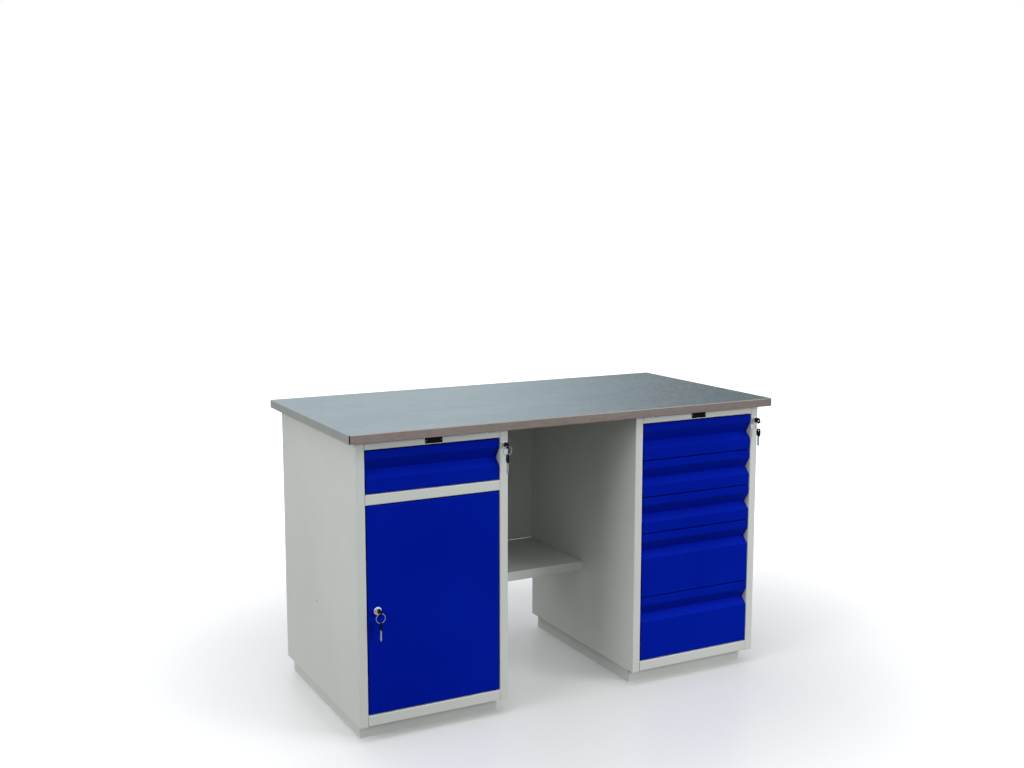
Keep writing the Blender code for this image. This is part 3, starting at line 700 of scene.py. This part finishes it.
def drawer_front(drawer):
    """A folded front, with a plate of the same outline inside each end."""
    (x0, y0, z0), (x1, y1, z1) = corners_of(f"{drawer}_front")
    line = [(y1, z1), (y0, z1), (y0, z1 - LIP_H), (y0 + GROOVE, z1 - LIP_H - UPPER_H),
            (y0, z1 - LIP_H - UPPER_H - LOWER_H), (y0, z0), (y1, z0)]
    sheet = folded(line, (x0, x1), THIN, "x")
    outer, normals = bent_line(line, THIN)
    inside = outer + normals * (THIN + GAP / 2)
    ends = [plate(inside, *sorted((x, x + s * THIN)), 0)
            for x, s in ((x0 + THIN, 1), (x1 - THIN, -1))]
    piece(f"{drawer}_face", [sheet, *ends], "blue_paint", drawer, [f"{drawer}_front"])


for drawer in DRAWERS:
    drawer_front(drawer)

# %% [markdown]
# ## Drawer bodies
# A body is a tray with rounded corners and a hem round its rim: the sheet is folded in and down
# again, so that no raw edge meets a hand. Its section is carried round a rounded rectangle. On
# the right side it has the small catch that the lock bar holds.

# %% Drawer bodies
HEM_W, HEM_H, TRAY_R, TRAY_CORNER = 0.004, 0.008, 0.003, 0.006
CATCH_BACK, CATCH_UP, CATCH = 0.0059, 0.070, 0.006


def tray_section(height, wall):
    """The wall of a tray from the middle of its underside, over the hem, to its floor inside."""
    turn = np.linspace(0, math.pi / 2, 4)
    foot = [(TRAY_R * (1 - math.sin(a)), TRAY_R * (1 - math.cos(a))) for a in turn]
    inner = [(wall + TRAY_R * (1 - math.cos(a)), wall + TRAY_R * (1 - math.sin(a))) for a in turn]
    rim = [(0, height - wall), (wall / 2, height), (HEM_W - wall / 2, height),
           (HEM_W, height - wall), (HEM_W, height - HEM_H), (wall, height - HEM_H)]
    return [(0.02, 0), *foot, *rim, *inner, (0.02 + wall, wall)]


def drawer_body(drawer):
    """A tray as wide as its node without the catch, and the catch on its right side."""
    (x0, y0, z0), (x1, y1, z1) = corners_of(f"{drawer}_body")
    middle = sum(corners_of(f"{drawer}_front"))[0] / 2
    half = ((middle - x0), (y1 - y0) / 2)
    centre = (middle, (y0 + y1) / 2, z0)
    tray = pressed(tray_section(z1 - z0, THIN), half, centre, TRAY_CORNER, 2)
    catch_y, catch_z = y0 + CATCH_BACK, z0 + CATCH_UP
    catch = block((middle + half[0] - THIN / 2, catch_y, catch_z),
                  (x1, catch_y + CATCH, catch_z + CATCH))
    piece(f"{drawer}_tray", [tray, catch], "grey_paint", drawer, [f"{drawer}_body"])


for drawer in DRAWERS:
    drawer_body(drawer)

# %% [markdown]
# ## Runners
# The drawers run on ball-bearing slides. The member on the drawer is a channel that faces
# outwards, with a thin strip in it that stands for the cage of the balls, and the fixed member is
# a deeper channel that faces it from the rack. The rack's uprights are folded strips. Real ones
# have a row of slots for hanging the slides at any height, and the slots are left out here.


# %% Runner members
RUNNER_BEND, RUNNER_LIP = 0.0008, 0.004
CAGE_FROM, CAGE_TO, CAGE_HALF = 0.03, 0.30, 0.011


def channel(x_web, x_lips, y_span, z_span, thick):
    """A channel along y: a web whose two edges are folded towards x_lips, then turned in."""
    z0, z1 = z_span
    line = [(x_lips, z0 + RUNNER_LIP), (x_lips, z0), (x_web, z0), (x_web, z1), (x_lips, z1),
            (x_lips, z1 - RUNNER_LIP)]
    return folded(line if x_web > x_lips else line[::-1], y_span, thick, "y", bend=RUNNER_BEND)


def runner(drawer, hand):
    """The member on a drawer: its channel, the cage in it and the screws that hold it."""
    node = f"{drawer}_runner_{hand}"
    (x0, y0, z0), (x1, y1, z1) = corners_of(node)
    web, lips = (x1, x0) if hand == "left" else (x0, x1)
    out = math.copysign(1, lips - web)
    member = channel(web, lips, (y0, y1), (z0, z1), THIN)
    middle = (z0 + z1) / 2
    cage_x = sorted((web + out * 0.0028, web + out * 0.0036))
    start, end, low, high = y0 + CAGE_FROM, y0 + CAGE_TO, middle - CAGE_HALF, middle + CAGE_HALF
    cage = plate([(start, low), (end, low), (end, high), (start, high)], *cage_x, 0)
    screws = [screw_head((web + out * THIN, y, middle), 0.0030, 0, out)
              for y in (y0 + 0.02, y1 - 0.02)]
    piece(f"{node}_slide", [member, cage, *screws], "zinc", drawer, [node])


for drawer in DRAWERS:
    for hand in ("left", "right"):
        runner(drawer, hand)


# %% Runner racks
RAIL_H, RAIL_T, UPRIGHT_W = 0.042, 0.006, 0.022
UPRIGHTS_AT = (0.030, 0.460)


def rack(side, hand, drawers):
    """The fixed members for some drawers, with their screws, on two folded uprights."""
    node = f"{side}_rack_{hand}"
    (x0, y0, z0), (x1, y1, z1) = corners_of(node)
    inner, outer = (x1, x0) if hand == "left" else (x0, x1)
    out = math.copysign(1, outer - inner)
    made = []
    for drawer in drawers:
        low, high = corners_of(f"{drawer}_runner_{hand}")
        middle = (low[2] + high[2]) / 2
        z_span = (middle - RAIL_H / 2, middle + RAIL_H / 2)
        made.append(channel(inner + out * RAIL_T, inner, (y0, y1), z_span, THIN))
        made += [screw_head((inner + out * (RAIL_T - THIN), y, middle), 0.0032, 0, -out)
                 for y in (y0 + 0.041, y1 - 0.049)]
    for start in (y0 + place for place in UPRIGHTS_AT):
        a, b = inner + out * (RAIL_T + GAP), outer
        line = [(b, start), (a, start), (a, start + UPRIGHT_W), (b, start + UPRIGHT_W)]
        if out < 0:
            line = line[::-1]
        made.append(folded(line, (z0, z1), THIN, "z", bend=RUNNER_BEND))
    piece(f"{node}_assembly", made, "zinc", "desk", [node])


for hand in ("left", "right"):
    rack("left", hand, DRAWERS[:1])
    rack("right", hand, DRAWERS[1:])

# %% [markdown]
# ## Door
# The door is a pan: a flat face whose four edges are folded back, with a narrow lip turned in
# behind to keep it stiff. Two short pins carry it. The same section goes all the way round a
# rounded rectangle.

# %% Door
FRONT_GAP = 0.003
DOOR_D, DOOR_LIP, DOOR_CORNER = 0.018, 0.012, 0.0012
PIN_R, PIN_IN, PIN_OUT = 0.0025, 0.004, 0.0065
rail_low, _ = corners_of("left_mid_rail")
_, floor_high = corners_of("left_floor_pan")
shell_low, shell_high = corners_of("left_shell")
hinge = joint_at["door_hinge"]
door_low = np.array([shell_low[0] + STILE + FRONT_GAP, shell_low[1], floor_high[2] + FRONT_GAP])
door_high = np.array([shell_high[0] - STILE - FRONT_GAP, shell_low[1] + DOOR_D,
                      rail_low[2] - FRONT_GAP])


def door_section(depth, wall, lip):
    """From the face's middle, round its edge, back, in along the lip, and along the inside."""
    turn = np.linspace(0, math.pi / 2, 5)
    r = BEND + wall
    edge = [(r * (1 - math.sin(a)), r * (1 - math.cos(a))) for a in turn]
    back = [(r * (1 - math.cos(a)), depth - r * (1 - math.sin(a))) for a in turn]
    inside = [(lip, depth), (lip, depth - wall), (wall, depth - wall), (wall, 2 * wall),
              (2 * wall, wall)]
    return [(0.03, 0), *edge, *back, *inside, (0.03 + wall, wall)]


half = (door_high - door_low)[[0, 2]] / 2
centre = (door_low + door_high) / 2
centre[1] = door_low[1]
leaf = pressed(door_section(DOOR_D, THIN, DOOR_LIP), half, centre, DOOR_CORNER, 1, steps=3)
pins = [turned([(PIN_R, low), (PIN_R, high)], (hinge[0], hinge[1], 0), 2, 24)
        for low, high in ((door_high[2] - PIN_IN, door_high[2] + PIN_OUT),
                          (door_low[2] - PIN_OUT, door_low[2] + PIN_IN))]
piece("door_leaf", [leaf, *pins], "blue_paint", "door", ["door_panel"],
      holes=[rod(joint_at["door_lock_turn"], LOCK_R, 0.008, 1)])

# %% [markdown]
# ## Locks
# A cam lock is a nickel-plated barrel with a round face, held by a nut from behind. The plug
# turns in it and carries a cam: on the door a long arm that reaches behind the stile, and on the
# drawers a short disc with a peg that moves the lock bar sideways. Round parts are a profile
# turned about the lock's axis, and the keyway is cut out of the plug.

# %% Barrels and plugs
BEZEL_R, BEZEL_T, BARREL_R, BARREL_L, PLUG_R = 0.011, 0.002, 0.0082, 0.025, 0.006
BORE = PLUG_R + GAP
RIM_R, NUT_R, NUT_LOW, NUT_HIGH = 0.0014, 0.0114, 0.0018, 0.0050
CAM_T, CAM_REACH, CAM_HALF, PEG_ORBIT = 0.002, 0.039, 0.007, 0.0065
LOCKS = {"left_lock": "desk", "right_lock": "desk", "door_lock": "door"}


def barrel(lock, body):
    """A barrel with a rounded bezel, and the hexagonal nut behind the sheet."""
    at = joint_at[f"{lock}_turn"]
    t = np.linspace(0, math.pi / 2, 7)
    rim = [(BEZEL_R - RIM_R + RIM_R * math.sin(a), -BEZEL_T + RIM_R * (1 - math.cos(a)))
           for a in t]
    profile = [(BORE, 0.0), (BORE, -BEZEL_T + 0.0006), (BORE + 0.0005, -BEZEL_T), *rim,
               (BEZEL_R, 0.0), (BARREL_R, 0.0), (BARREL_R, BARREL_L), (BORE, BARREL_L)]
    body_part = turned(profile, at, steps=64, closed=True)
    inner = BARREL_R + 0.0016
    nut = turned([(inner, NUT_LOW), (NUT_R, NUT_LOW), (NUT_R, NUT_HIGH), (inner, NUT_HIGH)],
                 at, steps=6, closed=True)
    piece(f"{lock}_barrel_turned", [body_part, nut], "lock_chrome", body, [f"{lock}_barrel"])


def plug(lock):
    """A plug with its keyway, and the cam at its end with a nut."""
    at = joint_at[f"{lock}_turn"]
    end = BARREL_L + GAP
    face = [(PLUG_R - 0.0016, -BEZEL_T + 0.0003), (PLUG_R - 0.0012, -BEZEL_T),
            (PLUG_R - 0.0004, -BEZEL_T), (PLUG_R, -BEZEL_T + 0.0004), (PLUG_R, end + 0.0018)]
    slot = block(at + (-0.0018, -0.004, -0.00405), at + (0.0018, 0.0265, 0.00405))
    piece(f"{lock}_plug_turned", [turned(face, at, steps=64)], "lock_chrome",
          f"{lock}_turning", [f"{lock}_plug"], holes=[slot])
    if lock == "door_lock":
        wide, reach = CAM_HALF, CAM_REACH
        top = [(wide * math.cos(a), wide * math.sin(a)) for a in np.linspace(0, math.pi, 13)]
        outline = np.array([*top, (-wide, -reach + 0.003), (-wide + 0.003, -reach),
                            (wide - 0.003, -reach), (wide, -reach + 0.003)])
        cam = [plate(outline + at[[0, 2]], at[1] + end, at[1] + end + CAM_T, 1)]
    else:
        peg = [(0.0015, end + 0.001), (0.0015, end + 0.0062), (0.0012, end + 0.0065)]
        cam = [turned([(0.0085, end), (0.0085, end + CAM_T)], at, steps=48),
               turned(peg, at + (0, 0, PEG_ORBIT), steps=16)]
    nut = [(0.0034, end + CAM_T), (0.0034, end + 0.0030), (0.0028, end + 0.0036)]
    cam.append(turned(nut, at, steps=6))
    piece(f"{lock}_cam", cam, "zinc", f"{lock}_turning", edge=0.0002)


for lock, body in LOCKS.items():
    barrel(lock, body)
    plug(lock)

# %% [markdown]
# ## Keys
# Each lock has a key in it, and a spare that hangs from that key on a split ring. A key's head is
# moulded in black plastic round a nickel-plated blade. The head is a flat ring of points: every
# ray from the hole to the outline is divided the same way, so one grid covers top, edge and
# bottom. The blade's lower edge has the cuts, and a groove is milled along each side.

# %% Keys
KEY_HOLE_R, HEAD_L, HEAD_W, HEAD_T = 0.003, 0.025, 0.018, 0.003
HOLE_IN = 0.006
BLADE_L, BLADE_W, BLADE_T = 0.030, 0.0075, 0.0022


def key_head():
    """Head of a key in (along, across, thickness), with its hole at the origin.

    The outline is a superellipse, |x/a|^3.2 + |y/b|^3.2 = 1, and each section point is a share
    of the way from the hole's edge to the outline, with a height.
    """
    t = np.linspace(0, math.tau, 56, endpoint=False)
    power = 2 / 3.2  # the outline's exponent is 3.2
    cos, sin = np.cos(t), np.sin(t)
    outline = np.stack([HOLE_IN - HEAD_L / 2 + HEAD_L / 2 * np.sign(cos) * np.abs(cos) ** power,
                        HEAD_W / 2 * np.sign(sin) * np.abs(sin) ** power], -1)
    way = outline / np.linalg.norm(outline, axis=1, keepdims=True)
    hole = way * KEY_HOLE_R
    h = HEAD_T / 2
    section = np.array([(0.00, -h + 0.0004), (0.06, -h), (0.88, -h), (0.97, -h + 0.0003),
                        (1.0, -h + 0.0010), (1.0, h - 0.0010), (0.97, h - 0.0003), (0.88, h),
                        (0.06, h), (0.00, h - 0.0004)])
    flat = hole[None] + section[:, 0][:, None, None] * (outline - hole)[None]
    height = np.broadcast_to(section[:, 1][:, None, None], (*flat.shape[:2], 1))
    return np.concatenate([flat, height], -1)


def key_blade():
    """Blade of a key: a grooved section carried along, with its lower edge cut to a code.

    Across, a point is a share of the height between the cut edge and the straight back.
    """
    along = np.linspace(0, 1, 61)
    base = HOLE_IN - HEAD_L
    x = base + 0.002 - along * (BLADE_L + 0.002)
    saw = np.abs((along * 7.0) % 1.0 - 0.5) * 2
    depth = np.array([0.6, 1.0, 0.35, 0.8, 0.5, 0.95, 0.3])[np.minimum((along * 7).astype(int), 6)]
    low = -BLADE_W / 2 + np.where(along > 0.22, 0.0019 * depth * (1 - saw), 0)
    tip = np.clip((along - 0.93) / 0.07, 0, 1)
    low, high = low * (1 - 0.75 * tip), (BLADE_W / 2) * (1 - 0.75 * tip)
    h = BLADE_T / 2
    section = np.array([(0.0, -h), (0.50, -h), (0.55, -h * 0.45), (0.72, -h * 0.45), (0.77, -h),
                        (1.0, -h), (1.0, h), (0.45, h), (0.40, h * 0.45), (0.24, h * 0.45),
                        (0.19, h), (0.0, h)])
    across = low[:, None] + section[:, 0] * (high - low)[:, None]
    return np.stack([np.broadcast_to(x[:, None], across.shape), across,
                     np.broadcast_to(section[:, 1], across.shape)], -1)


def placed(grid, at, along, across):
    """Grid points put where the key's own axes point along and across."""
    axes = np.array([along, across, np.cross(along, across)], float)
    return grid @ axes + at


def key(name, node, body, at, along, across):
    """A key as two pieces, since its head and its blade are of different stuff."""
    head = capped(placed(key_head(), at, along, across), wrap_rows=True)
    blade = capped(placed(key_blade(), at, along, across))
    piece(f"{name}_head", [head], "black_plastic", body, [node])
    piece(f"{name}_blade", [blade], "key_steel", body)


# %% Split rings
RING_R, WIRE = 0.0132, 0.0009


def split_ring(at):
    """Two turns of flat wire: the centre line climbs by about 0.6 of the wire's thickness in each
    turn, so the turns cut into each other a little, and an eight-sided section is carried
    along it."""
    t = np.linspace(0, 2 * math.tau, 129)
    climb = WIRE * (t / math.tau - 1) * 0.5
    around = np.linspace(0, math.tau, 8, endpoint=False) + math.pi / 8
    radial, side = WIRE * 0.98 * np.cos(around), WIRE * 0.44 * np.sin(around)
    reach = RING_R + radial[None]
    grid = np.stack([at[0] + reach * np.cos(t)[:, None], at[1] + climb[:, None] + side[None],
                     at[2] + reach * np.sin(t)[:, None]], -1)
    return capped(grid)


for lock in LOCKS:
    ring_at = joint_at[f"{lock}_ring_swing"]
    spare_at = joint_at[f"{lock}_spare_swing"]
    sag = joint_at[f"{lock}_turn"][2] - ring_at[2]
    key(f"{lock}_key", f"{lock}_key", f"{lock}_turning", ring_at + (0, 0, sag),
        (0, -1, 0), (0, 0, 1))
    key(f"{lock}_spare", f"{lock}_spare_key", f"{lock}_spare", spare_at - (0, 0, sag),
        (0, 0, 1), (0, 1, 0))
    piece(f"{lock}_split_ring", [split_ring(ring_at - (0, 0, RING_R))], "key_steel", f"{lock}_ring",
          [f"{lock}_ring"])

# %% [markdown]
# ## Label plates
# A small black plate is riveted to the middle of each top rail. It is left blank here. It is a
# moulding with a raised rim, so the same wrapped section as the door's makes it.

# %% Label plates
PLATE_W, PLATE_H, PLATE_T, RIVET_OUT = 0.052, 0.019, 0.0012, 0.0225
for side in ("left", "right"):
    (x0, y0, z0), (x1, y1, z1) = corners_of(f"{side}_top_pan")
    at = ((x0 + x1) / 2, y0, (z0 + z1) / 2)
    field = PLATE_T - 0.0004
    rim = [(0.0002, 0), (0, -0.0003), (0.0003, -PLATE_T), (0.0012, -PLATE_T), (0.0015, -field),
           (0.004, -field)]
    tag = pressed(rim, (PLATE_W / 2, PLATE_H / 2), at, 0.0025, 1)
    piece(f"{side}_label_plate", [tag], "black_plastic", "desk")
    rivets = [screw_head((at[0] + s * RIVET_OUT, at[1] - field, at[2]), 0.0014, 1, -1)
              for s in (-1, 1)]
    piece(f"{side}_label_rivets", rivets, "zinc", "desk")

# %% [markdown]
# ## Pieces kept from the model
# The board and the lock bars already have the right shape, so they only get a finish.

# %% Finishes for the pieces that stay
KEPT = {"worktop_board": "board", "left_lock_bar": "zinc", "right_lock_bar": "zinc"}
for node, look in KEPT.items():
    frame["nodes"][node].data.materials.clear()
    frame["nodes"][node].data.materials.append(FINISHES[look])
print("kept", KEPT)
